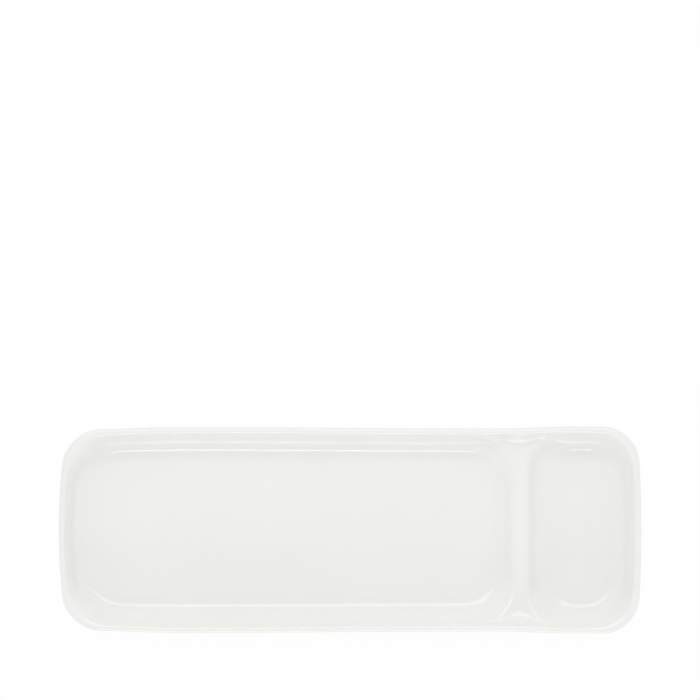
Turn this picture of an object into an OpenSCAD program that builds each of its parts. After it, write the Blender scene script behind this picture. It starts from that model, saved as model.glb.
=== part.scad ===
// Olive dish: a long porcelain tray with a pit well past a low ridge at one end.
// The tray lies towards -X and the pit well towards +X; the foot stands on Z = 0.
// The form is drawn between straight sides first; a last step bows the ends and draws in the waist.

/* [Rim outline] */
// Length over the rim
length = 300; // [240:1:380]
// Width over the rim at the widest place of the tray
tray_width = 106.1; // [100:0.1:130]
// Width over the rim at the tray end, where its corners begin
tray_end_width = 103.4; // [96:0.1:130]
// Width over the rim at the waist, beside the ridge
waist_width = 104.6; // [96:0.1:130]
// Width over the rim at the widest place of the pit well
well_width = 106.6; // [96:0.1:130]
// Distance from the tray end to the widest place of the tray
tray_belly_at = 67; // [40:1:120]
// Distance from the pit end to the waist
waist_at = 74.6; // [50:0.1:110]
// Distance from the pit end to the widest place of the pit well
well_belly_at = 36.4; // [20:0.1:45]
// Radius of the outline's corners
corner_r = 18; // [14:0.5:24]
// How far the middle of the tray end stands out past its corners
tray_end_bow = 4.2; // [0:0.1:6]
// How far the middle of the pit end stands out past its corners
well_end_bow = 2.3; // [0:0.1:6]
// Distance from an end over which its bow dies out
bow_reach = 62; // [40:1:90]

/* [Rim and walls] */
// Height of the rim above the table
height = 22; // [19:0.5:26]
// Radius of the rounded lip, half the thickness of the rim
lip_r = 1.8; // [1.4:0.1:2.2]
// Slope of the wall just under the lip, in degrees
lip_slope = 74; // [70:1:80]
// Distance from the outer edge to the floors along the sides
side_margin = 14.3; // [13:0.1:16]
// Radius of the heel, where the outer wall turns under the dish
heel_r = 6; // [4:0.5:7]

/* [Tray] */
// Distance from the outer edge to the floor at the tray end
tray_end_margin = 11.3; // [10:0.1:14]
// Thickness of the porcelain under the tray floor
tray_floor_t = 4; // [3:0.1:5]
// Radius of the fold between the tray floor and its walls
tray_fold_r = 3.3; // [2:0.1:5]
// Corner radius of the tray floor
tray_floor_corner_r = 20; // [14:0.5:22]

/* [Pit well] */
// Distance from the outer edge to the floor at the pit end
well_end_margin = 14.7; // [13:0.1:17]
// Thickness of the porcelain under the floor of the pit well
well_floor_t = 3.2; // [2.5:0.1:4.5]
// Radius of the fold between the floor of the pit well and its side walls
well_fold_r = 3.3; // [2:0.1:5]
// Radius of the cove between the floor of the pit well and its end wall
well_cove_r = 8; // [5:0.5:8.5]
// Corner radius of the floor of the pit well
well_floor_corner_r = 14; // [10:0.5:15]

/* [Ridge] */
// Distance from the pit end to the crest of the ridge
ridge_at = 63.5; // [58:0.5:75]
// How far the crest lies below the rim
ridge_drop = 9; // [7:0.5:10]
// Distance from the crest to the tray floor
ridge_tray_run = 9.4; // [8.5:0.1:13]
// Slope of the ridge towards the tray, in degrees
ridge_tray_slope = 50; // [46:1:58]
// Distance from the crest to the floor of the pit well
ridge_well_run = 17.4; // [15.5:0.1:19]
// Slope of the ridge towards the pit well, in degrees
ridge_well_slope = 55; // [50:1:60]
// Radius of the cove at the bottom of the ridge in the pit well
ridge_cove_r = 13; // [9:0.5:14]
// Height over which the edges of the crest are rounded
crest_round = 2.2; // [0.8:0.1:2.3]
// Height over which the crest runs up into the rim at its two ends
ridge_fillet = 6; // [3:0.5:7]
// Corner radius of the tray at the level of the crest
tray_crest_corner_r = 20; // [16:0.5:22]
// Corner radius of the pit well at the level of the crest
well_crest_corner_r = 17; // [13:0.5:19]
// Distance from the outer edge at which the two recesses in the ends of the crest begin
recess_reach = 19; // [16:0.5:22]
// How fast the sides of a recess draw together towards the rim, per unit of its length
recess_spread = 0.5; // [0.3:0.05:0.6]
// Slope of the sides of a recess, in degrees
recess_slope = 40; // [30:1:44]
// Height over which the floor of a recess runs up into its sides
recess_fold = 1.2; // [0.6:0.1:1.5]

/* [Foot ring] */
// Height of the foot ring under the dish
foot_h = 2; // [1.5:0.1:3]
// Width of the foot's flat face
foot_w = 3; // [2:0.1:4]
// Distance from the heel to the foot
foot_inset = 1.5; // [0.5:0.1:3]
// How far each side of the foot leans in towards its flat face
foot_taper = 0.8; // [0.4:0.1:1.2]
// Corner radius of the underside where the heel ends
base_corner_r = 12; // [10:0.5:16]

/* [Glaze] */
// Thickness of the glaze
glaze_t = 0.3; // [0.2:0.05:0.5]
// Height of the bare band that is wiped clean on the sides of the foot
bare_band = 0.8; // [0.4:0.1:1.2]

/* [Hidden] */

// Straight steps between neighbouring stations of the outline
side_steps = 6;
ridge_steps = 9;
well_steps = 3;
corner_steps = 6;
end_steps = 3;
crest_end_steps = 12;
crest_mid_steps = 3;

// Length beside the ridge, and at each end of the crest, that takes the finer steps
ridge_reach = 26;
crest_reach = 20;

// Power that crowds the crest's finer steps towards its ends
crest_crowding = 1.4;

// Rings of a well from its floor to the rim or the crest, as shares of the way
rings = [0, 0.06, 0.12, 0.19, 0.32, 0.46, 0.6, 0.74, 0.86, 0.93, 0.97, 1];
last_ring = len(rings) - 1;

// Steps of each arc of the outer profile, and the angles of its points on the lip, from the top
profile_steps = 3;
lip_angles = [45, 90, 180 - lip_slope];

// How far the foot is cast too deep, and how far the corner at its root is drawn down
grind = 0.4;
foot_root = 0.04;

// Least height of a blend, which keeps its formula from dividing by zero
least_blend = 0.001;

tray_end_x = -length / 2;
well_end_x = length / 2;
half_w = tray_width / 2;
ridge_x = well_end_x - ridge_at;
tray_floor_z = foot_h + tray_floor_t;
well_floor_z = foot_h + well_floor_t;
ridge_z = height - ridge_drop;
floor_half_w = half_w - side_margin;
side_run = side_margin - lip_r;
crest_end = half_w - lip_r;

// Blends
function clamp(v, lo, hi) = max(lo, min(hi, v));
function ease(t) = let (c = clamp(t, 0, 1)) c * c * (3 - 2 * c);
function mix(a, b, t) = a + (b - a) * t;
function unit(v) = v / norm(v);
function dip(a, b, k) = let (h = max(0, k - abs(a - b))) h * h / (4 * max(k, least_blend));
function smooth_min(a, b, k) = min(a, b) - dip(a, b, k);
function smooth_max(a, b, k) = max(a, b) + dip(a, b, k);

// Rounded rectangles on the X axis: [lowest x, highest x, half width, corner radius]
tray_floor = [tray_end_x + tray_end_margin, ridge_x - ridge_tray_run, floor_half_w, tray_floor_corner_r];
well_floor = [ridge_x + ridge_well_run, well_end_x - well_end_margin, floor_half_w, well_floor_corner_r];
base = [tray_end_x + tray_end_margin, well_end_x - well_end_margin, floor_half_w, base_corner_r];

// Vector to p from the nearest point of a rectangle's core, on which its corner circles are centred
function from_core(rect, p) = [
    p.x - clamp(p.x, rect[0] + rect[3], rect[1] - rect[3]),
    p.y - clamp(p.y, rect[3] - rect[2], rect[2] - rect[3])
];
function nearest(rect, p) = let (v = from_core(rect, p)) p - v + unit(v) * rect[3];

// Wall curve of three tangent arcs: a fold from the flat, a wall of one long arc, and the lip.
// A wall is [fold radius, slope where the fold ends, wall radius, run to the lip, run, rise].
function long_arc_r(a, b, r) =
    (a * a + (b - r) * (b - r) - r * r)
    / (2 * (a * sin(lip_slope) - r - (b - r) * cos(lip_slope)));
function wall(run, rise, fold_r) =
    let (a = run - lip_r * sin(lip_slope))
    let (b = rise - lip_r * (1 - cos(lip_slope)))
    let (r = long_arc_r(a, b, fold_r))
    let (slope = atan2(r * sin(lip_slope) - a, b - fold_r + r * cos(lip_slope)))
    [fold_r, slope, r, a, run, rise];
function arc_rise(r, s) = r - sqrt(max(0, r * r - s * s));
function wall_z(w, s) =
    s <= w[0] * sin(w[1]) ? arc_rise(w[0], max(0, s)) :
    s <= w[3] ? w[0] * (1 - cos(w[1])) + w[2] * cos(w[1]) - w[2]
        + arc_rise(w[2], s + (w[2] - w[0]) * sin(w[1])) :
    s <= w[4] ? w[5] - arc_rise(lip_r, w[4] - s) :
    w[5] + s - w[4];

// Flank of the ridge: a cove from the floor, then a straight slope
function flank_z(r, slope, s) =
    s <= r * sin(slope) ? arc_rise(r, s) : r * (1 - cos(slope)) + (s - r * sin(slope)) * tan(slope);

// Runs at which the long arc of a wall, and the straight slope of a flank, have a given rise
function wall_run(w, rise) =
    let (left = w[2] * cos(w[1]) + w[0] * (1 - cos(w[1])) - rise)
    sqrt(w[2] * w[2] - left * left) - (w[2] - w[0]) * sin(w[1]);
function flank_run(r, slope, rise) = r * sin(slope) + (rise - r * (1 - cos(slope))) / tan(slope);

tray_side = wall(side_run, height - tray_floor_z, tray_fold_r);
tray_end = wall(tray_end_margin * side_run / side_margin, height - tray_floor_z, tray_fold_r);
well_side = wall(side_run, height - well_floor_z, well_fold_r);
well_end = wall(well_end_margin * side_run / side_margin, height - well_floor_z, well_cove_r);

// Runs of the flanks and of the side walls up to the level of the crest, and the wells' outlines there
tray_flank_run = flank_run(tray_fold_r, ridge_tray_slope, ridge_z - tray_floor_z);
well_flank_run = flank_run(ridge_cove_r, ridge_well_slope, ridge_z - well_floor_z);
tray_side_run = wall_run(tray_side, ridge_z - tray_floor_z);
well_side_run = wall_run(well_side, ridge_z - well_floor_z);
function grown(rect, x_by, y_by, corner_r) = [rect[0] - x_by, rect[1] + x_by, rect[2] + y_by, corner_r];
tray_at_crest = grown(tray_floor, tray_flank_run, tray_side_run, tray_crest_corner_r);
well_at_crest = grown(well_floor, well_flank_run, well_side_run, well_crest_corner_r);

// A well is [floor, floor height, side wall, end wall, ridge cove radius, ridge slope, ridge direction,
// outline at the level of the crest, run of the flank up to there, run of the side wall up to there].
tray = [tray_floor, tray_floor_z, tray_side, tray_end, tray_fold_r, ridge_tray_slope, 1,
    tray_at_crest, tray_flank_run, tray_side_run];
pit_well = [well_floor, well_floor_z, well_side, well_end, ridge_cove_r, ridge_well_slope, -1,
    well_at_crest, well_flank_run, well_side_run];

// Height of the saddle that the ridge makes between the two side walls
function saddle_z(p) =
    let (s = side_run + lip_r - (half_w - abs(p.y)))
    smooth_max(tray_floor_z + wall_z(tray_side, s), ridge_z, ridge_fillet);

// Rounding of the crest's edges, which dies out in the outer half of the ridge's reach and towards the lip
function crest_round_at(p) =
    let (from_crest = abs(p.x - ridge_x) / ridge_reach)
    let (from_lip = half_w - lip_r - abs(p.y))
    crest_round * ease(2 - 2 * from_crest) * ease(2 * from_lip / side_run);

// Height of the saddle with the side of a recess, at a distance inside a well's outline at the crest
function recess_z(p, inside) =
    let (side_w = recess_spread * (abs(p.y) - half_w + recess_reach) + inside)
    smooth_max(saddle_z(p), ridge_z + tan(recess_slope) * side_w, recess_fold);

// Height above its floor of a well's wall on the ridge half, at a point q past the foot of the wall.
// The wall climbs to the crest's level at the outline there, then goes on to the lip.
function ridge_half_z(well, q, foot, n, inside) =
    let (s = norm(q - foot))
    let (climb = s / max(s + inside, least_blend))
    let (past = max(0, -inside))
    let (to_lip = past / max(past + crest_end - abs(q.y), least_blend))
    let (side_rise = wall_z(well[2], mix(min(climb, 1) * well[9], well[2][4], to_lip)))
    let (flank_rise = mix(flank_z(well[4], well[5], climb * well[8]), well[2][5], to_lip * to_lip))
    side_rise * n.y * n.y + flank_rise * n.x * n.x;

// Point of a well at a share of the way from its floor to the boundary point p
function well_point(well, p, share) =
    let (n = unit(from_core(well[0], p)))
    let (foot = nearest(well[0], p))
    let (q = mix(foot, p, share))
    let (inside = well[7][3] - norm(from_core(well[7], q)))
    let (side_rise = wall_z(well[2], share * well[2][4]))
    let (end_rise = wall_z(well[3], share * well[3][4]))
    let (far_half_z = side_rise * n.y * n.y + end_rise * n.x * n.x)
    let (near_half_z = ridge_half_z(well, q, foot, n, inside))
    [q.x, q.y, n.x * well[6] < 0 ? well[1] + far_half_z :
        smooth_min(well[1] + near_half_z, recess_z(q, inside), crest_round_at(q))];

// Stations of the outer edge, anticlockwise from the crest's end at +Y
function mirrored(half) = concat(half, [for (i = [len(half) - 2 : -1 : 0]) [half[i].x, -half[i].y]]);
function corner(x, a) = [x, half_w - corner_r] + corner_r * [cos(a), sin(a)];
tray_half = concat(
    [for (i = [0 : ridge_steps - 1]) [ridge_x - ridge_reach * i / ridge_steps, half_w]],
    [for (i = [0 : side_steps - 1])
        [mix(ridge_x - ridge_reach, tray_end_x + corner_r, i / side_steps), half_w]],
    [for (i = [0 : corner_steps - 1]) corner(tray_end_x + corner_r, 90 + 90 * i / corner_steps)],
    [for (i = [0 : end_steps]) [tray_end_x, mix(half_w - corner_r, 0, i / end_steps)]]
);
well_half = concat(
    [for (i = [1 : ridge_steps]) [ridge_x + ridge_reach * i / ridge_steps, half_w]],
    [for (i = [1 : well_steps])
        [mix(ridge_x + ridge_reach, well_end_x - corner_r, i / well_steps), half_w]],
    [for (i = [1 : corner_steps]) corner(well_end_x - corner_r, 90 - 90 * i / corner_steps)],
    [for (i = [1 : end_steps]) [well_end_x, mix(half_w - corner_r, 0, i / end_steps)]]
);
tray_edge = mirrored(tray_half);
well_edge = [for (p = mirrored(well_half)) [p.x, -p.y]];
edge = concat(tray_edge, well_edge);
edge_n = len(edge);
tray_edge_n = len(tray_edge);

// Points between the outer edge and the underside, at a distance s that is scaled at the ends
function inward(p, s) = mix(p, nearest(base, p), s / side_margin);
function beneath(p, inset) =
    let (g = nearest(base, p))
    g - unit(from_core(base, p)) * inset;

// Stations of the crest, from its end at -Y to its end at +Y, closest together at the ends
crest_half = concat(
    [for (i = [1 : crest_end_steps]) crest_end - crest_reach * pow(i / crest_end_steps, crest_crowding)],
    [for (i = [1 : crest_mid_steps]) mix(crest_end - crest_reach, 0, i / crest_mid_steps)]
);
crest = concat(
    [for (y = crest_half) [ridge_x, -y]],
    [for (i = [len(crest_half) - 2 : -1 : 0]) [ridge_x, crest_half[i]]]
);
crest_n = len(crest);

// Boundary loops of the two wells, as numbers of the shared stations: the rim first, then the crest
tray_loop = [for (i = [0 : tray_edge_n + crest_n - 1]) i < tray_edge_n ? i : edge_n + i - tray_edge_n];
well_loop = concat(
    [for (i = [tray_edge_n - 1 : edge_n - 1]) i],
    [0],
    [for (i = [crest_n - 1 : -1 : 0]) edge_n + i]
);
tray_n = len(tray_loop);
well_n = len(well_loop);
boundary = concat([for (p = edge) inward(p, lip_r)], crest);

// Outer profile from the lip to the heel: distance from the outer edge, and height
outer_wall = wall(side_margin - lip_r * (1 - sin(lip_slope)) + lip_r * sin(lip_slope),
    height - foot_h - 2 * lip_r * cos(lip_slope), heel_r);
function heel_point(a) =
    let (bend = min(a, outer_wall[1]))
    [side_margin - heel_r * sin(bend) - outer_wall[2] * (sin(a) - sin(bend)),
        foot_h + heel_r * (1 - cos(bend)) + outer_wall[2] * (cos(bend) - cos(a))];
outer_profile = concat(
    [for (a = lip_angles) [lip_r * (1 - sin(a)), height - lip_r + lip_r * cos(a)]],
    [for (i = [profile_steps - 1 : -1 : 0]) heel_point(mix(outer_wall[1], lip_slope, i / profile_steps))],
    [for (i = [profile_steps - 1 : -1 : 0]) heel_point(outer_wall[1] * i / profile_steps)]
);

// Foot profile: inset from the heel, and height. It is cast a little too deep, then ground flat.
foot_lean = foot_taper / foot_h;
bare_inset = foot_inset + foot_taper - bare_band * foot_lean;
foot_end = 2 * (foot_inset + foot_taper) + foot_w;
cast_inset = foot_inset + foot_taper + grind * foot_lean;
glazed_foot = [[foot_inset / 2, foot_h], [foot_inset, foot_h - foot_root], [bare_inset, bare_band]];
cast_foot = [
    [bare_inset, bare_band],
    [cast_inset, -grind],
    [foot_end - cast_inset, -grind],
    [foot_end - bare_inset, bare_band]
];
glazed_base = [for (i = [2 : -1 : 0]) [foot_end - glazed_foot[i][0], glazed_foot[i][1]]];

// Last step of the form: the ends are bowed and the sides swell and narrow
function span(x, x0, x1, w0, w1) = mix(w0, w1, ease((x - x0) / (x1 - x0)));
belly_x = tray_end_x + tray_belly_at;
waist_x = well_end_x - waist_at;
well_belly_x = well_end_x - well_belly_at;
function width_at(x) =
    x < belly_x ? span(x, tray_end_x, belly_x, tray_end_width, tray_width) :
    x < waist_x ? span(x, belly_x, waist_x, tray_width, waist_width) :
    span(x, waist_x, well_belly_x, waist_width, well_width);
function shaped(p) =
    let (bow = pow(p.y / half_w, 2))
    let (in_tray = tray_end_bow * bow * ease(1 - (p.x - tray_end_x) / bow_reach))
    let (in_well = well_end_bow * bow * ease(1 - (well_end_x - p.x) / bow_reach))
    [p.x + in_tray - in_well, p.y * width_at(p.x) / tray_width, p.z];

// Shaped grids, one row per ring and one column per station
function is_crest(i) = i >= edge_n;
function boundary_z(i) = is_crest(i) ? saddle_z(boundary[i]) : height;
edge_row = [for (i = [0 : len(boundary) - 1]) shaped([boundary[i].x, boundary[i].y, boundary_z(i)])];
function well_rows(well, loop) = [
    for (k = [0 : last_ring])
        [for (i = loop) k == last_ring ? edge_row[i] : shaped(well_point(well, boundary[i], rings[k]))]
];
function under_row(at) = [for (p = edge) let (q = beneath(p, at[0])) shaped([q.x, q.y, at[1]])];
tray_rows = well_rows(tray, tray_loop);
pit_rows = well_rows(pit_well, well_loop);
rim_row = [for (i = [0 : edge_n - 1]) edge_row[i]];
outer_rows = concat(
    [rim_row],
    [for (at = outer_profile) [for (p = edge) let (q = inward(p, at[0])) shaped([q.x, q.y, at[1]])]],
    [for (at = glazed_foot) under_row(at)]
);
cast_rows = [for (at = cast_foot) under_row(at)];
base_rows = [for (at = glazed_base) under_row(at)];

// Rows moved inwards by the glaze; the first and last rows may have a set direction
up = [0, 0, 1];
function around(row, i, step) = row[(i + step + len(row)) % len(row)];
function normal(rows, k, i) =
    let (along = around(rows[k], i, 1) - around(rows[k], i, -1))
    let (across = rows[min(k + 1, len(rows) - 1)][i] - rows[max(k - 1, 0)][i])
    unit(cross(across, along));
function crest_normal(i) =
    let (next = i == len(edge_row) - 1 ? edge_row[0] : edge_row[i + 1])
    let (last = i == edge_n ? edge_row[tray_edge_n - 1] : edge_row[i - 1])
    unit([0, last.z - next.z, next.y - last.y]);
edge_normals = [for (i = [0 : len(edge_row) - 1]) is_crest(i) ? crest_normal(i) : up];
function moved(rows, k, normals) = [for (i = [0 : len(rows[k]) - 1]) rows[k][i] - glaze_t * normals[i]];
function level(row, direction) = [for (p = row) direction];
function moved_well(rows, loop) = [
    for (k = [0 : last_ring])
        moved(rows, k, k == 0 ? level(rows[k], up) :
            k == last_ring ? [for (i = loop) edge_normals[i]] :
            [for (i = [0 : len(loop) - 1]) normal(rows, k, i)])
];
function moved_band(rows, first, last) = [
    for (k = [0 : len(rows) - 1])
        moved(rows, k, k == 0 && first != undef ? level(rows[k], first) :
            k == len(rows) - 1 && last != undef ? level(rows[k], last) :
            [for (i = [0 : edge_n - 1]) normal(rows, k, i)])
];
clay_edge_row = moved([edge_row], 0, edge_normals);
clay_tray_rows = moved_well(tray_rows, tray_loop);
clay_pit_rows = moved_well(pit_rows, well_loop);
clay_outer_rows = moved_band(outer_rows, up, undef);
clay_base_rows = moved_band(base_rows, undef, -up);

// Skins as lists of triangles of point numbers, seen clockwise from outside
function triangles(a, b, c, d) = [[c, b, a], [d, c, a]];
function band(low, high) = [
    for (i = [0 : len(low) - 1])
        each triangles(high[i], around(high, i, 1), around(low, i, 1), low[i])
];
function bands(rows) = [for (k = [0 : len(rows) - 2]) each band(rows[k], rows[k + 1])];
function reversed(skin) = [for (t = skin) [t[2], t[1], t[0]]];
function shifted(skin, by) = [for (t = skin) t + [by, by, by]];

// Flat fill of a loop from a point in its middle
function fill(row, middle) = [for (i = [0 : len(row) - 1]) [around(row, i, 1), row[i], middle]];
function middle_of(rect, z) = shaped([(rect[0] + rect[1]) / 2, 0, z]);

// Points of the part above the bare band, in one list: the boundary, the two wells, the outside
function flat(rows) = [for (row = rows) each row];
function all_but_first(rows) = [for (k = [1 : len(rows) - 1]) rows[k]];
function all_but_last(rows) = [for (k = [0 : len(rows) - 2]) rows[k]];
function last_of(rows) = rows[len(rows) - 1];
function upper_points(edge_part, tray_part, pit_part, outer_part, depth) = concat(
    edge_part,
    flat(all_but_last(tray_part)),
    flat(all_but_last(pit_part)),
    flat(all_but_first(outer_part)),
    [middle_of(tray_floor, tray_floor_z - depth), middle_of(well_floor, well_floor_z - depth)]
);
function numbers(count, row_n, start) =
    [for (k = [0 : count - 1]) [for (i = [0 : row_n - 1]) start + k * row_n + i]];
tray_start = len(boundary);
pit_start = tray_start + last_ring * tray_n;
outer_start = pit_start + last_ring * well_n;
middle_start = outer_start + (len(outer_rows) - 1) * edge_n;
upper_n = middle_start + 2;
tray_ids = concat(numbers(last_ring, tray_n, tray_start), [tray_loop]);
pit_ids = concat(numbers(last_ring, well_n, pit_start), [well_loop]);
outer_ids = concat(numbers(1, edge_n, 0), numbers(len(outer_rows) - 1, edge_n, outer_start));
upper_skin = concat(
    fill(tray_ids[0], middle_start),
    fill(pit_ids[0], middle_start + 1),
    bands(tray_ids),
    bands(pit_ids),
    bands(outer_ids)
);
coat_points = upper_points(edge_row, tray_rows, pit_rows, outer_rows, 0);
clay_points = upper_points(clay_edge_row, clay_tray_rows, clay_pit_rows, clay_outer_rows, glaze_t);

// The underside inside the foot
base_ids = numbers(len(base_rows), edge_n, 0);
base_skin = concat(bands(base_ids), reversed(fill(last_of(base_ids), len(base_rows) * edge_n)));
base_points = concat(flat(base_rows), [middle_of(base, foot_h)]);
clay_base_points = concat(flat(clay_base_rows), [middle_of(base, foot_h + glaze_t)]);

module cast_clay() {
    foot_ids = concat([last_of(outer_ids)], numbers(len(cast_rows), edge_n, upper_n));
    base_start = upper_n + len(cast_rows) * edge_n;
    join_ids = [last_of(foot_ids), base_ids[0] + [for (i = base_ids[0]) base_start]];
    polyhedron(
        concat(clay_points, flat(cast_rows), clay_base_points),
        concat(upper_skin, bands(foot_ids), bands(join_ids), shifted(base_skin, base_start))
    );
}

// A coat between a skin and the clay under it, with an edge along one row of points
module coat(outside, inside, skin, edge_ids, turned) {
    n = len(outside);
    under_ids = edge_ids + [for (i = edge_ids) n];
    border = band(edge_ids, under_ids);
    polyhedron(
        concat(outside, inside),
        concat(skin, reversed(shifted(skin, n)), turned ? reversed(border) : border)
    );
}

module porcelain_body() {
    color("ivory") difference() {
        cast_clay();
        translate([-length, -tray_width, -2 * grind]) cube([2 * length, 2 * tray_width, 2 * grind]);
    }
}

module glaze_coat() {
    color("white") {
        coat(coat_points, clay_points, upper_skin, last_of(outer_ids), false);
        coat(base_points, clay_base_points, base_skin, base_ids[0], true);
    }
}

porcelain_body();
glaze_coat();
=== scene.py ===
import math
from collections import namedtuple

import bpy
import numpy as np
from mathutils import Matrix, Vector


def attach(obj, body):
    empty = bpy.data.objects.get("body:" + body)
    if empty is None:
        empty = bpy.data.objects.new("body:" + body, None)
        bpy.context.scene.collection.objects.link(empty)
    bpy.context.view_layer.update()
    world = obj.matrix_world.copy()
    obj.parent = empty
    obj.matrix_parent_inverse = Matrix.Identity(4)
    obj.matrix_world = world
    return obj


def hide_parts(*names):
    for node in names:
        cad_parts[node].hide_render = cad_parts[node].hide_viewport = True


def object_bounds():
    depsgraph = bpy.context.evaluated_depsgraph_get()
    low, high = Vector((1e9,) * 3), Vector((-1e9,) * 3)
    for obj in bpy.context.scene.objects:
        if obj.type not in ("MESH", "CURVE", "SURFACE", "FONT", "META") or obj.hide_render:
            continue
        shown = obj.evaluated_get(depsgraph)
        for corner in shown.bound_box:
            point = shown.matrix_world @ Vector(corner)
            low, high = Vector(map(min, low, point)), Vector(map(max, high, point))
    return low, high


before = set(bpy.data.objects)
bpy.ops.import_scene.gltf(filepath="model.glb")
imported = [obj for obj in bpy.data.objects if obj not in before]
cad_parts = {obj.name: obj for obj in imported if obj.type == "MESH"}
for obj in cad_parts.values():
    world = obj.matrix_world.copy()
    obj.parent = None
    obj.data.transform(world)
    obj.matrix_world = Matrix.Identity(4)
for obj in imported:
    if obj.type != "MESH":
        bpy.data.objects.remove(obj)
cad_low, cad_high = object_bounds()

# Sizes of the dish in millimetres; the length and the height come from the bounds of the parts in
# model.glb
MM = 0.001
LENGTH = (cad_high.x - cad_low.x) / MM
HEIGHT = (cad_high.z - cad_low.z) / MM

# Outline: widths along the dish and their distances from the nearer end, corners, bow of the ends
TRAY_WIDTH = 106.1
TRAY_END_WIDTH = 103.4
WAIST_WIDTH = 104.6
WELL_WIDTH = 106.6
TRAY_BELLY_AT = 67.0
WAIST_AT = 74.6
WELL_BELLY_AT = 36.4
CORNER_R = 18.0
TRAY_END_BOW = 4.2
WELL_END_BOW = 2.3
BOW_REACH = 62.0

# Lip, side walls and heel; a margin runs from the outer edge to the floor's edge
LIP_R = 1.8
LIP_SLOPE = math.radians(74)
SIDE_MARGIN = 14.3
HEEL_R = 6.0

# Tray
TRAY_END_MARGIN = 11.3
TRAY_FLOOR_T = 4.0
TRAY_FOLD_R = 3.8
TRAY_END_FOLD_R = 5.0
TRAY_FLOOR_CORNER_R = 20.0

# Pit well
WELL_END_MARGIN = 14.7
WELL_FLOOR_T = 3.2
WELL_FOLD_R = 3.8
WELL_COVE_R = 8.0
WELL_FLOOR_CORNER_R = 14.0

# Ridge: distance from the well's end, depth below the lip, and a flank to either side
RIDGE_AT = 63.5
RIDGE_DROP = 9.0
RIDGE_TRAY_RUN = 9.4
RIDGE_TRAY_SLOPE = math.radians(50)
RIDGE_WELL_RUN = 17.4
RIDGE_WELL_SLOPE = math.radians(55)
RIDGE_COVE_R = 13.0
RIDGE_FILLET = 6.0
RIDGE_REACH = 26.0
TRAY_CREST_CORNER_R = 20.0
WELL_CREST_CORNER_R = 17.0

# Rounding of the crest, and the shares of the ridge's reach and of a wall's run where it dies out
CREST_ROUND = 2.2
CREST_FADE = 0.5
LIP_FADE = 0.25

# Spandrels: the three-cornered slopes in which the ridge's ends spread out towards the lip
SPANDREL_FROM = 34.0
SPANDREL_SPREAD = 0.5
SPANDREL_SLOPE = math.radians(40)
SPANDREL_FOLD = 3.0

# Foot ring
FOOT_H = 2.0
FOOT_W = 3.0
FOOT_INSET = 1.5
FOOT_TAPER = 0.8
FOOT_EDGE = 0.15
BASE_CORNER_R = 12.0

# Glaze, and the height of the band at the foot's bottom that it leaves bare
GLAZE_T = 0.3
BARE_BAND = 0.8

# Soft start of the walls: its height, and how far it reaches into the floor and up the wall
TOE_H = 0.4
TOE_IN = 2.2
TOE_OUT = 8.0

# Depth of the glaze from 0 on edges to 1 in hollows, and the radius of a hollow that it fills most
DEPTH_NAME = "glaze_depth"
FLAT_DEPTH = 0.5
POOLING_R = 2.0

# Heights of the uneven surfaces
WAVE_H = 0.016
PEEL_H = 0.0012
GRAIN_H = 0.02

# Steps of the meshes between neighbouring stations
SIDE_STEPS = 56
RIDGE_STEPS = 32
WELL_STEPS = 48
CORNER_STEPS = 32
END_STEPS = 24
CREST_STEPS = 80
RING_STEPS = 44
FLOOR_STEPS = 5
LIP_STEPS = 10
PROFILE_STEPS = 9

# Least length to divide by
LEAST_LENGTH = 0.001

# Places that follow from the sizes
TRAY_END_X = -LENGTH / 2
WELL_END_X = LENGTH / 2
HALF_W = TRAY_WIDTH / 2
RIDGE_X = WELL_END_X - RIDGE_AT
TRAY_FLOOR_Z = FOOT_H + TRAY_FLOOR_T
WELL_FLOOR_Z = FOOT_H + WELL_FLOOR_T
RIDGE_Z = HEIGHT - RIDGE_DROP
FLOOR_HALF_W = HALF_W - SIDE_MARGIN
FLOOR_LOW_X = TRAY_END_X + TRAY_END_MARGIN
FLOOR_HIGH_X = WELL_END_X - WELL_END_MARGIN
SIDE_RUN = SIDE_MARGIN - LIP_R
END_SHARE = SIDE_RUN / SIDE_MARGIN

# Rounded rectangles on the X axis
Rect = namedtuple("Rect", "low_x high_x half_w corner_r")
tray_floor = Rect(FLOOR_LOW_X, RIDGE_X - RIDGE_TRAY_RUN, FLOOR_HALF_W, TRAY_FLOOR_CORNER_R)
well_floor = Rect(RIDGE_X + RIDGE_WELL_RUN, FLOOR_HIGH_X, FLOOR_HALF_W, WELL_FLOOR_CORNER_R)
base = Rect(FLOOR_LOW_X, FLOOR_HIGH_X, FLOOR_HALF_W, BASE_CORNER_R)


# Blends
def ease(t):
    c = np.clip(t, 0, 1)
    return c * c * (3 - 2 * c)


def mix(a, b, t):
    return a + (b - a) * t


def unit(v):
    return v / np.linalg.norm(v, axis=-1, keepdims=True)


def dip(a, b, k):
    h = np.maximum(0, k - np.abs(a - b))
    return h * h / (4 * np.maximum(k, LEAST_LENGTH))


def smooth_min(a, b, k):
    return np.minimum(a, b) - dip(a, b, k)


def smooth_max(a, b, k):
    return np.maximum(a, b) + dip(a, b, k)


# Form of the dish between straight sides
def from_core(rect, p):
    """Vector to p from a rectangle's core, the part that its corner circles are centred on."""
    x = np.clip(p[..., 0], rect.low_x + rect.corner_r, rect.high_x - rect.corner_r)
    y = np.clip(p[..., 1], rect.corner_r - rect.half_w, rect.half_w - rect.corner_r)
    return p - np.stack([x, y], axis=-1)


def nearest(rect, p):
    """Point of the rectangle's outline nearest to p."""
    v = from_core(rect, p)
    return p - v + unit(v) * rect.corner_r


def with_height(p, z):
    return np.concatenate([p, np.broadcast_to(z, p.shape[:-1])[..., None]], axis=-1)


def arc_rise(r, s):
    return r - np.sqrt(np.maximum(0, r * r - s * s))


Wall = namedtuple("Wall", "fold_r slope long_r to_lip run rise")


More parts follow.
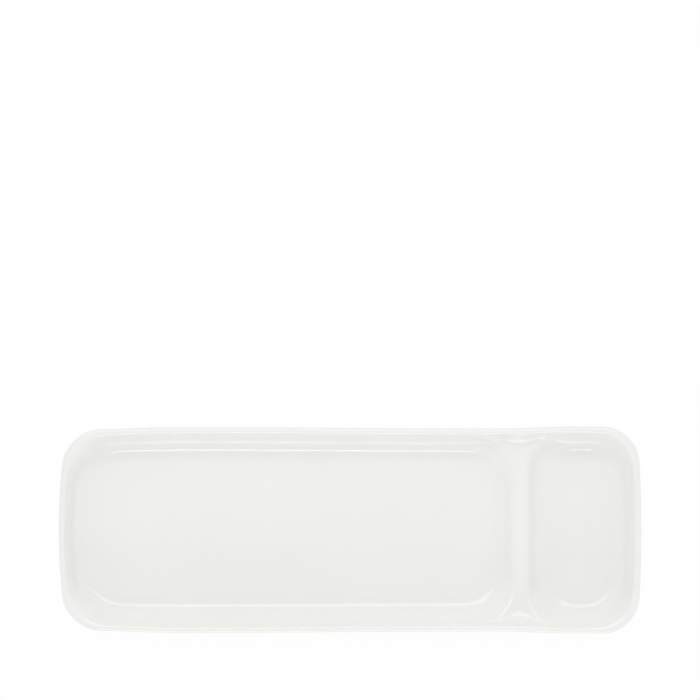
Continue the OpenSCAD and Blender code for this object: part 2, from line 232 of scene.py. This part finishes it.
def make_wall(run, rise, fold_r):
    """A wall of three tangent arcs: a fold from the flat, a long arc, and the lip."""
    sine, cosine = math.sin(LIP_SLOPE), math.cos(LIP_SLOPE)
    to_lip = run - LIP_R * sine
    above = rise - LIP_R * (1 - cosine) - fold_r
    spread = to_lip * sine - fold_r - above * cosine
    long_r = (to_lip * to_lip + above**2 - fold_r**2) / (2 * spread)
    slope = math.atan2(long_r * sine - to_lip, above + long_r * cosine)
    return Wall(fold_r, slope, long_r, to_lip, run, rise)


def wall_z(wall, s):
    """Rise of a wall at a distance s from the floor's edge."""
    fold_run = wall.fold_r * math.sin(wall.slope)
    fold = arc_rise(wall.fold_r, np.maximum(s, 0))
    fold_end = wall.fold_r * (1 - math.cos(wall.slope))
    long_base = wall.long_r * (math.cos(wall.slope) - 1)
    long_s = s + (wall.long_r - wall.fold_r) * math.sin(wall.slope)
    long = fold_end + long_base + arc_rise(wall.long_r, long_s)
    lip = wall.rise - arc_rise(LIP_R, wall.run - s)
    past = wall.rise + s - wall.run
    return np.select([s <= fold_run, s <= wall.to_lip, s <= wall.run], [fold, long, lip], past)


def wall_run(wall, rise):
    """Run of a wall's long arc at which it has that rise."""
    fold_end = wall.fold_r * (1 - math.cos(wall.slope))
    left = wall.long_r * math.cos(wall.slope) + fold_end - rise
    return math.sqrt(wall.long_r**2 - left**2) - (wall.long_r - wall.fold_r) * math.sin(wall.slope)


def flank_z(r, slope, s):
    """Flank of the ridge: a cove from the floor, then a straight slope."""
    cove_run = r * math.sin(slope)
    straight = r * (1 - math.cos(slope)) + (s - cove_run) * math.tan(slope)
    return np.where(s <= cove_run, arc_rise(r, s), straight)


def flank_run(r, slope, rise):
    """Run of a flank's straight slope at which it has that rise."""
    return r * math.sin(slope) + (rise - r * (1 - math.cos(slope))) / math.tan(slope)


Well = namedtuple(
    "Well", "floor floor_z side end cove_r ridge_slope to_ridge crest crest_run side_run"
)


def make_well(
    floor, floor_z, end_margin, fold_r, end_fold_r, cove_r, ridge_slope, to_ridge, crest_r
):
    """A well with its walls and its outline at the level of the crest."""
    depth = HEIGHT - floor_z
    side = make_wall(SIDE_RUN, depth, fold_r)
    end = make_wall(end_margin * END_SHARE, depth, end_fold_r)
    crest_run = flank_run(cove_r, ridge_slope, RIDGE_Z - floor_z)
    side_run = wall_run(side, RIDGE_Z - floor_z)
    outline = Rect(
        floor.low_x - crest_run, floor.high_x + crest_run, floor.half_w + side_run, crest_r
    )
    return Well(
        floor, floor_z, side, end, cove_r, ridge_slope, to_ridge, outline, crest_run, side_run
    )


tray = make_well(
    floor=tray_floor,
    floor_z=TRAY_FLOOR_Z,
    end_margin=TRAY_END_MARGIN,
    fold_r=TRAY_FOLD_R,
    end_fold_r=TRAY_END_FOLD_R,
    cove_r=TRAY_FOLD_R,
    ridge_slope=RIDGE_TRAY_SLOPE,
    to_ridge=1,
    crest_r=TRAY_CREST_CORNER_R,
)
pit_well = make_well(
    floor=well_floor,
    floor_z=WELL_FLOOR_Z,
    end_margin=WELL_END_MARGIN,
    fold_r=WELL_FOLD_R,
    end_fold_r=WELL_COVE_R,
    cove_r=RIDGE_COVE_R,
    ridge_slope=RIDGE_WELL_SLOPE,
    to_ridge=-1,
    crest_r=WELL_CREST_CORNER_R,
)


def saddle_z(p):
    """Height of the saddle that the ridge makes between the two side walls."""
    s = SIDE_RUN + LIP_R - (HALF_W - np.abs(p[..., 1]))
    return smooth_max(TRAY_FLOOR_Z + wall_z(tray.side, s), RIDGE_Z, RIDGE_FILLET)


def crest_round_at(p):
    """Rounding of the crest's edges, which dies out away from the ridge and towards the lip."""
    from_crest = np.abs(p[..., 0] - RIDGE_X) / RIDGE_REACH
    from_lip = (HALF_W - LIP_R - np.abs(p[..., 1])) / SIDE_RUN
    return CREST_ROUND * ease((1 - from_crest) / CREST_FADE) * ease(from_lip / LIP_FADE)


def toe_rise(s):
    """Rise of the soft start, a low bell across the floor's edge."""
    t = 2 * (s + TOE_IN) / (TOE_OUT + TOE_IN) - 1
    return TOE_H * np.maximum(0, 1 - t * t) ** 2


def well_rings(well, rim, shares):
    """Points of a well at shares of the way from its floor's edge to its rim, or below 0 inward."""
    v = from_core(well.floor, rim)
    n = unit(v)
    foot = rim - v + n * well.floor.corner_r
    share = np.asarray(shares)[:, None]
    reach = np.linalg.norm(rim - foot, axis=-1)
    from_edge = np.where(share < 0, share * SIDE_RUN, share * reach)
    q = foot + n * from_edge[..., None]
    s = np.maximum(from_edge, 0)

    # On the ridge's half the wall climbs to the crest's outline, and from there on to the lip
    by_ridge = n[:, 0] * well.to_ridge >= 0
    to_crest = well.crest.corner_r - np.linalg.norm(from_core(well.crest, q), axis=-1)
    climb = s / np.maximum(s + to_crest, LEAST_LENGTH)
    past = np.maximum(0, -to_crest)
    to_lip = past / np.maximum(past + HALF_W - LIP_R - np.abs(q[..., 1]), LEAST_LENGTH)
    ridge_s = np.minimum(climb, 1) * well.side_run + to_lip * (well.side.run - well.side_run)
    flank = flank_z(well.cove_r, well.ridge_slope, climb * well.crest_run)

    # On the other half it is stretched so that it ends at the lip
    stretch = (s / reach) ** 2
    side_s = np.where(by_ridge, ridge_s, s + stretch * (well.side.run - reach))
    end = wall_z(well.end, s + stretch * (well.end.run - reach))

    # Side and end share the corners, and the ridge's saddle with its spandrels cuts them off
    side_rise = wall_z(well.side, side_s)
    end_rise = np.where(by_ridge, mix(flank, well.side.rise, to_lip**2), end)
    z = well.floor_z + toe_rise(from_edge)
    z = z + side_rise * n[:, 1] ** 2 + end_rise * n[:, 0] ** 2
    spandrel_w = SPANDREL_SPREAD * (np.abs(q[..., 1]) - SPANDREL_FROM) + to_crest
    spandrel = RIDGE_Z + math.tan(SPANDREL_SLOPE) * spandrel_w
    saddle = smooth_max(saddle_z(q), spandrel, SPANDREL_FOLD)
    return with_height(q, np.where(by_ridge, smooth_min(z, saddle, crest_round_at(q)), z))


# Last step of the form: the ends are bowed and the sides swell and narrow
def span(x, x0, x1, w0, w1):
    return mix(w0, w1, ease((x - x0) / (x1 - x0)))


def width_at(x):
    belly_x = TRAY_END_X + TRAY_BELLY_AT
    waist_x = WELL_END_X - WAIST_AT
    well_belly_x = WELL_END_X - WELL_BELLY_AT
    tray_part = span(x, TRAY_END_X, belly_x, TRAY_END_WIDTH, TRAY_WIDTH)
    waist_part = span(x, belly_x, waist_x, TRAY_WIDTH, WAIST_WIDTH)
    well_part = span(x, waist_x, well_belly_x, WAIST_WIDTH, WELL_WIDTH)
    return np.select([x < belly_x, x < waist_x], [tray_part, waist_part], well_part)


def shaped(p):
    x, y, z = np.moveaxis(p, -1, 0)
    bow = (y / HALF_W) ** 2
    in_tray = TRAY_END_BOW * bow * ease(1 - (x - TRAY_END_X) / BOW_REACH)
    in_well = WELL_END_BOW * bow * ease(1 - (WELL_END_X - x) / BOW_REACH)
    return np.stack([x + in_tray - in_well, y * width_at(x) / TRAY_WIDTH, z], axis=-1)


# Stations: the outer edge anticlockwise from the crest's end at +Y, and the crest from -Y to +Y
def steps(start, end, count, last=False):
    return np.linspace(start, end, count + 1)[: count + 1 if last else count]


def row_of(x, y):
    return np.stack(np.broadcast_arrays(x, y), axis=-1).astype(float)


def corner_points(x, start, end):
    a = np.radians(steps(start, end, CORNER_STEPS))
    return row_of(x + CORNER_R * np.cos(a), HALF_W - CORNER_R + CORNER_R * np.sin(a))


def mirrored(half):
    return np.concatenate([half, (half * [1, -1])[-2::-1]])


tray_half = np.concatenate([
    row_of(steps(RIDGE_X, RIDGE_X - RIDGE_REACH, RIDGE_STEPS), HALF_W),
    row_of(steps(RIDGE_X - RIDGE_REACH, TRAY_END_X + CORNER_R, SIDE_STEPS), HALF_W),
    corner_points(TRAY_END_X + CORNER_R, 90, 180),
    row_of(TRAY_END_X, steps(HALF_W - CORNER_R, 0, END_STEPS, last=True)),
])
well_half = np.concatenate([
    row_of(steps(RIDGE_X, WELL_END_X - CORNER_R, WELL_STEPS), HALF_W)[1:],
    corner_points(WELL_END_X - CORNER_R, 90, 0),
    row_of(WELL_END_X, steps(HALF_W - CORNER_R, 0, END_STEPS, last=True)),
])
tray_edge = mirrored(tray_half)
well_edge = mirrored(well_half) * [1, -1]
edge = np.concatenate([tray_edge, well_edge])
crest_turn = np.linspace(-1, 1, CREST_STEPS + 1)[1:-1]
crest = row_of(RIDGE_X, (HALF_W - LIP_R) * np.sin(crest_turn * math.pi / 2))


def inward(p, s):
    """Points at a distance s from the outer edge towards the underside, scaled at the ends."""
    return mix(p, nearest(base, p), s / SIDE_MARGIN)


def beneath(p, inset):
    """Points of the underside at an inset from the heel."""
    return nearest(base, p) - unit(from_core(base, p)) * inset


boundary = np.concatenate([inward(edge, LIP_R), crest])
boundary_z = np.concatenate([np.full(len(edge), HEIGHT), saddle_z(crest)])
edge_ids = np.arange(len(edge))
crest_ids = len(edge) + np.arange(len(crest))
tray_loop = np.concatenate([edge_ids[: len(tray_edge)], crest_ids])
well_loop = np.concatenate([edge_ids[len(tray_edge) - 1 :], [0], crest_ids[::-1]])

# Profiles of the outside: distance from the outer edge, or inset from the heel, and height
outer_wall = make_wall(
    SIDE_MARGIN - LIP_R * (1 - math.sin(LIP_SLOPE)) + LIP_R * math.sin(LIP_SLOPE),
    HEIGHT - FOOT_H - 2 * LIP_R * math.cos(LIP_SLOPE),
    HEEL_R,
)


def lip_point(angle):
    return LIP_R * (1 - math.sin(angle)), HEIGHT - LIP_R + LIP_R * math.cos(angle)


def heel_point(angle):
    bend = min(angle, outer_wall.slope)
    across = HEEL_R * math.sin(bend) + outer_wall.long_r * (math.sin(angle) - math.sin(bend))
    up = HEEL_R * (1 - math.cos(bend)) + outer_wall.long_r * (math.cos(bend) - math.cos(angle))
    return SIDE_MARGIN - across, FOOT_H + up


def turns(start, end, count):
    """Angles after the start, up to the end."""
    return np.linspace(start, end, count + 1)[1:]


outer_profile = [lip_point(a) for a in turns(0, math.pi - LIP_SLOPE, LIP_STEPS)]
outer_profile += [heel_point(a) for a in turns(LIP_SLOPE, outer_wall.slope, PROFILE_STEPS)]
outer_profile += [heel_point(a) for a in turns(outer_wall.slope, 0, PROFILE_STEPS)]

foot_lean = FOOT_TAPER / FOOT_H
bare_inset = FOOT_INSET + FOOT_TAPER - BARE_BAND * foot_lean
face_inset = FOOT_INSET + FOOT_TAPER
foot_end = 2 * face_inset + FOOT_W
root_profile = [
    (FOOT_INSET / 2, FOOT_H),
    (FOOT_INSET - FOOT_EDGE, FOOT_H),
    (FOOT_INSET + FOOT_EDGE * foot_lean, FOOT_H - FOOT_EDGE),
    (bare_inset, BARE_BAND),
]
bare_profile = [
    (face_inset - FOOT_EDGE * foot_lean, FOOT_EDGE),
    (face_inset + FOOT_EDGE, 0),
    (foot_end - face_inset - FOOT_EDGE, 0),
    (foot_end - face_inset + FOOT_EDGE * foot_lean, FOOT_EDGE),
]
base_profile = [(foot_end - inset, z) for inset, z in reversed(root_profile)]

# The whole outside of the dish as one grid of points, in rows
points = []


def add_rows(rows):
    """Adds rows of points to the grid and returns their numbers."""
    start = sum(len(p) for p in points)
    rows = np.asarray(rows, float)
    points.append(rows.reshape(-1, 3))
    return start + np.arange(rows.shape[0] * rows.shape[1]).reshape(rows.shape[:2])


def profile_rows(profile, place):
    return [shaped(with_height(place(edge, across), z)) for across, z in profile]


def bands(rows):
    """Four-sided faces between neighbouring rows of point numbers, each row a closed loop."""
    rows = np.asarray(rows)
    low, high = rows[:-1], rows[1:]
    corners = [high, np.roll(high, -1, 1), np.roll(low, -1, 1), low]
    return np.stack(corners, axis=-1).reshape(-1, 4)


def floor_rings(rect, z, outline):
    """Middle of a flat floor and its rings from there out to its outline."""
    middle = shaped(np.array([(rect.low_x + rect.high_x) / 2, 0, z]))
    shares = np.linspace(0, 1, FLOOR_STEPS + 1)[1:-1]
    return middle, [mix(middle, outline, share) for share in shares]


def fan(middle, row):
    return np.stack([np.full(len(row), middle), row, np.roll(row, -1)], axis=-1)


rim_ids = add_rows([shaped(with_height(boundary, boundary_z))])[0]
ring_turn = 0.5 - 0.5 * np.cos(np.linspace(0, math.pi, RING_STEPS + 1))
ring_shares = mix(-TOE_IN / SIDE_RUN, 1, ring_turn)[:-1]


def add_well(well, loop):
    """Adds a well's wall and floor to the grid; returns its four-sided and three-sided faces."""
    rings = shaped(well_rings(well, boundary[loop], ring_shares))
    ids = add_rows(rings)
    middle, inner = floor_rings(well.floor, well.floor_z, rings[0])
    floor_ids = add_rows(inner)
    middle_id = add_rows([[middle]])[0, 0]
    rows = np.concatenate([floor_ids, ids, [rim_ids[loop]]])
    return bands(rows), fan(middle_id, rows[0])


tray_quads, tray_fan = add_well(tray, tray_loop)
well_quads, well_fan = add_well(pit_well, well_loop)
outer_ids = add_rows(profile_rows(outer_profile, inward) + profile_rows(root_profile, beneath))
bare_ids = add_rows(profile_rows(bare_profile, beneath))
base_rows = profile_rows(base_profile, beneath)
base_ids = add_rows(base_rows)
base_middle, base_inner = floor_rings(base, FOOT_H, base_rows[-1])
base_floor_ids = add_rows(base_inner[::-1])
base_middle_id = add_rows([[base_middle]])[0, 0]

grid = np.concatenate(points)
outer_quads = bands(np.concatenate([[rim_ids[: len(edge)]], outer_ids]))
upper_groups = [
    np.concatenate([tray_quads, well_quads, outer_quads]),
    np.concatenate([tray_fan, well_fan]),
]
bare_quads = bands(np.concatenate([outer_ids[-1:], bare_ids, base_ids[:1]]))
base_groups = [
    bands(np.concatenate([base_ids, base_floor_ids])),
    fan(base_middle_id, base_floor_ids[-1])[:, ::-1],
]
all_groups = [*upper_groups, bare_quads, *base_groups]
glazed = np.ones(len(grid), bool)
glazed[bare_ids.ravel()] = False


# Meshes
def make_piece(name, coordinates, face_groups, depth, material, node):
    """A smooth mesh of the points that its faces use, with the glaze's depth at each point."""
    used = np.unique(np.concatenate([faces.ravel() for faces in face_groups]))
    number = np.full(len(coordinates), -1)
    number[used] = np.arange(len(used))
    faces = [face for group in face_groups for face in number[group].tolist()]
    mesh = bpy.data.meshes.new(name)
    mesh.from_pydata((coordinates[used] * MM).tolist(), [], faces)
    mesh.shade_smooth()
    depths = mesh.attributes.new(DEPTH_NAME, "FLOAT", "POINT")
    depths.data.foreach_set("value", depth[used].astype(np.float32))
    mesh.materials.append(material)
    piece = bpy.data.objects.new(name, mesh)
    bpy.context.scene.collection.objects.link(piece)
    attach(piece, "root")
    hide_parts(node)
    return piece


def vertex_normals(coordinates, face_groups):
    normals = np.zeros_like(coordinates)
    for faces in face_groups:
        corners = coordinates[faces]
        across = np.cross(corners[:, 2] - corners[:, 0], corners[:, -1] - corners[:, 1])
        for column in range(faces.shape[1]):
            np.add.at(normals, faces[:, column], across)
    return unit(normals)


def hollowness(coordinates, normals, face_groups):
    """Mean curvature at each point, positive in hollows and negative on edges."""
    total = np.zeros(len(coordinates))
    count = np.zeros(len(coordinates))
    for faces in face_groups:
        following = np.roll(faces, -1, 1)
        for start, end in ((faces, following), (following, faces)):
            step = coordinates[end] - coordinates[start]
            squared = np.maximum(np.sum(step * step, axis=-1), LEAST_LENGTH**2)
            rise = np.sum(normals[start] * step, axis=-1) / squared
            np.add.at(total, start, 2 * rise)
            np.add.at(count, start, 1)
    return total / np.maximum(count, 1)


def coat(piece):
    """Gives an open skin the glaze's thickness, towards the clay."""
    solid = piece.modifiers.new("glaze thickness", "SOLIDIFY")
    solid.thickness = GLAZE_T * MM
    solid.offset = -1


# Materials: colours at places between 0 and 1, and noise as features per metre with its detail
GLAZE_COLORS = [
    (0.0, (0.850, 0.843, 0.825)),
    (FLAT_DEPTH, (0.873, 0.869, 0.854)),
    (1.0, (0.884, 0.881, 0.868)),
]
CLOUD_COLORS = [(0.3, (0.985, 0.985, 0.982)), (0.7, (1, 1, 1))]
CLOUD_NOISE = (22, 3)
GLOSS_NOISE = (60, 2)
WAVE_NOISE = (40, 1)
PEEL_NOISE = (450, 1)
GLAZE_ROUGHNESS = (0.05, 0.1)
CLAY_COLORS = [(0.3, (0.74, 0.70, 0.64)), (0.7, (0.85, 0.82, 0.77))]
GRAIN_NOISE = (1400, 4)
CLAY_ROUGHNESS = 0.75


def new_material(name):
    material = bpy.data.materials.new(name)
    material.use_nodes = True
    nodes = material.node_tree.nodes
    return material, nodes, material.node_tree.links, nodes["Principled BSDF"]


def noise(nodes, links, scale, detail):
    """Noise in the object's own space."""
    place = nodes.new("ShaderNodeTexCoord")
    texture = nodes.new("ShaderNodeTexNoise")
    texture.inputs["Scale"].default_value = scale
    texture.inputs["Detail"].default_value = detail
    links.new(place.outputs["Object"], texture.inputs["Vector"])
    return texture.outputs["Fac"]


def ramp(nodes, links, value, stops):
    node = nodes.new("ShaderNodeValToRGB")
    elements = node.color_ramp.elements
    while len(elements) < len(stops):
        elements.new(0.5)
    for element, (place, color) in zip(elements, stops):
        element.position = place
        element.color = (*color, 1)
    links.new(value, node.inputs["Fac"])
    return node.outputs["Color"]


def bump(nodes, links, height, distance, normal=None):
    node = nodes.new("ShaderNodeBump")
    node.inputs["Distance"].default_value = distance
    links.new(height, node.inputs["Height"])
    if normal:
        links.new(normal, node.inputs["Normal"])
    return node.outputs["Normal"]


def combined(nodes, links, operation, first, second):
    """Two numbers put together by a math operation."""
    node = nodes.new("ShaderNodeMath")
    node.operation = operation
    links.new(first, node.inputs[0])
    links.new(second, node.inputs[1])
    return node.outputs[0]


def glaze_material():
    """White glaze: creamier where it is thin, cooler where it pools, gently uneven all over."""
    material, nodes, links, shader = new_material("white_glaze")
    depth = nodes.new("ShaderNodeAttribute")
    depth.attribute_name = DEPTH_NAME
    clouds = noise(nodes, links, *CLOUD_NOISE)
    tinted = nodes.new("ShaderNodeMix")
    tinted.data_type = "RGBA"
    tinted.blend_type = "MULTIPLY"
    tinted.inputs["Factor"].default_value = 1
    links.new(ramp(nodes, links, depth.outputs["Fac"], GLAZE_COLORS), tinted.inputs["A"])
    links.new(ramp(nodes, links, clouds, CLOUD_COLORS), tinted.inputs["B"])
    links.new(tinted.outputs["Result"], shader.inputs["Base Color"])
    gloss = nodes.new("ShaderNodeMapRange")
    gloss.inputs["To Min"].default_value, gloss.inputs["To Max"].default_value = GLAZE_ROUGHNESS
    links.new(noise(nodes, links, *GLOSS_NOISE), gloss.inputs["Value"])
    links.new(gloss.outputs["Result"], shader.inputs["Roughness"])
    waves = bump(nodes, links, noise(nodes, links, *WAVE_NOISE), WAVE_H * MM)
    peel = bump(nodes, links, noise(nodes, links, *PEEL_NOISE), PEEL_H * MM, waves)
    links.new(peel, shader.inputs["Normal"])
    return material


def clay_material():
    """Bare fired clay: warm, matte and finely grained."""
    material, nodes, links, shader = new_material("bare_porcelain")
    grain = noise(nodes, links, *GRAIN_NOISE)
    links.new(ramp(nodes, links, grain, CLAY_COLORS), shader.inputs["Base Color"])
    links.new(bump(nodes, links, grain, GRAIN_H * MM), shader.inputs["Normal"])
    shader.inputs["Roughness"].default_value = CLAY_ROUGHNESS
    return material


glaze = glaze_material()
clay = clay_material()
normals = vertex_normals(grid, all_groups)
hollows = hollowness(grid, normals, all_groups)
glaze_depth = np.clip(FLAT_DEPTH + hollows * POOLING_R, 0, 1)
clay_grid = grid - normals * (GLAZE_T * glazed)[:, None]
for name, groups in (("glaze_upper", upper_groups), ("glaze_base", base_groups)):
    coat(make_piece(name, grid, groups, glaze_depth, glaze, "glaze_coat"))
make_piece(
    "clay_body", clay_grid, all_groups, glaze_depth, clay, "porcelain_body"
)

# Floor in metres: white to the camera and in reflections, with a little of the dish's shadow left
FLOOR_SIZE = 16.0
FLOOR_WHITE = 0.96
PAPER_COLOR = (0.9, 0.9, 0.9, 1)


def floor_material():
    material, nodes, links, shader = new_material("floor")
    nodes.remove(shader)
    ray = nodes.new("ShaderNodeLightPath")
    seen = ray.outputs["Is Camera Ray"]
    for kind in ("Is Glossy Ray", "Is Transmission Ray"):
        seen = combined(nodes, links, "MAXIMUM", seen, ray.outputs[kind])
    share = nodes.new("ShaderNodeMath")
    share.operation = "MULTIPLY"
    share.inputs[1].default_value = FLOOR_WHITE
    links.new(seen, share.inputs[0])
    paper = nodes.new("ShaderNodeBsdfDiffuse")
    paper.inputs["Color"].default_value = PAPER_COLOR
    white = nodes.new("ShaderNodeEmission")
    blend = nodes.new("ShaderNodeMixShader")
    for place, source in enumerate((share, paper, white)):
        links.new(source.outputs[0], blend.inputs[place])
    links.new(blend.outputs[0], nodes["Material Output"].inputs["Surface"])
    return material


def make_floor():
    half = FLOOR_SIZE / 2
    corners = [(-half, -half, 0), (half, -half, 0), (half, half, 0), (-half, half, 0)]
    mesh = bpy.data.meshes.new("floor")
    mesh.from_pydata(corners, [], [(0, 1, 2, 3)])
    mesh.materials.append(floor_material())
    floor = bpy.data.objects.new("floor", mesh)
    bpy.context.scene.collection.objects.link(floor)


make_floor()

# Room: brightness towards the dish's ends, its sides and overhead, and a lean to one side
ROOM_TONE = (1.1, 0.93, 0.555)
ROOM_LEAN = (0.015, -0.05, 0)


def weighed(nodes, links, vector, weights):
    """Sum of a vector's parts, each times its weight."""
    node = nodes.new("ShaderNodeVectorMath")
    node.operation = "DOT_PRODUCT"
    node.inputs[1].default_value = weights
    links.new(vector, node.inputs[0])
    return node.outputs["Value"]


def light_room():
    """A white room whose tone follows the squares of the direction's parts."""
    world = bpy.data.worlds.new("room")
    bpy.context.scene.world = world
    world.use_nodes = True
    nodes, links = world.node_tree.nodes, world.node_tree.links
    direction = nodes.new("ShaderNodeTexCoord").outputs["Generated"]
    squares = nodes.new("ShaderNodeVectorMath")
    squares.operation = "MULTIPLY"
    links.new(direction, squares.inputs[0])
    links.new(direction, squares.inputs[1])
    tone = weighed(nodes, links, squares.outputs[0], ROOM_TONE)
    lean = weighed(nodes, links, direction, ROOM_LEAN)
    background = nodes["Background"]
    background.inputs["Color"].default_value = (1, 1, 1, 1)
    links.new(combined(nodes, links, "ADD", tone, lean), background.inputs["Strength"])


# Soft boxes in metres, turned to the middle of the dish
SoftBox = namedtuple("SoftBox", "name place width height radiance")
SOFT_BOXES = [
    SoftBox("high_box", (-0.1, 2.25, 3.9), width=3.4, height=2.6, radiance=2.05),
    SoftBox("low_strip", (0.08, -2.88, 0.83), width=1.05, height=0.8, radiance=4.4),
]


def add_soft_box(box):
    data = bpy.data.lights.new(box.name, "AREA")
    data.shape = "RECTANGLE"
    data.size = box.width
    data.size_y = box.height
    data.energy = box.radiance * math.pi * box.width * box.height
    lamp = bpy.data.objects.new(box.name, data)
    lamp.location = box.place
    lamp.rotation_euler = (-Vector(box.place)).to_track_quat("-Z", "Y").to_euler()
    lamp.visible_camera = False
    bpy.context.scene.collection.objects.link(lamp)


light_room()
for box in SOFT_BOXES:
    add_soft_box(box)

# Camera in metres: straight down, in a square picture with the dish's middle at DISH_PX
PICTURE_PX = 700
MM_PER_PX = 0.5145
DISH_PX = (350.07, 530.0)
CAMERA_HEIGHT = 4.0
SENSOR_MM = 36.0

camera_data = bpy.data.cameras.new("camera")
camera_data.sensor_width = SENSOR_MM
camera_data.lens = SENSOR_MM * (CAMERA_HEIGHT - HEIGHT * MM) / (PICTURE_PX * MM_PER_PX * MM)
camera = bpy.data.objects.new("camera", camera_data)
camera.location = (
    (PICTURE_PX / 2 - DISH_PX[0]) * MM_PER_PX * MM,
    (DISH_PX[1] - PICTURE_PX / 2) * MM_PER_PX * MM,
    CAMERA_HEIGHT,
)
bpy.context.scene.collection.objects.link(camera)
bpy.context.scene.camera = camera
bpy.context.scene.view_settings.view_transform = "Standard"
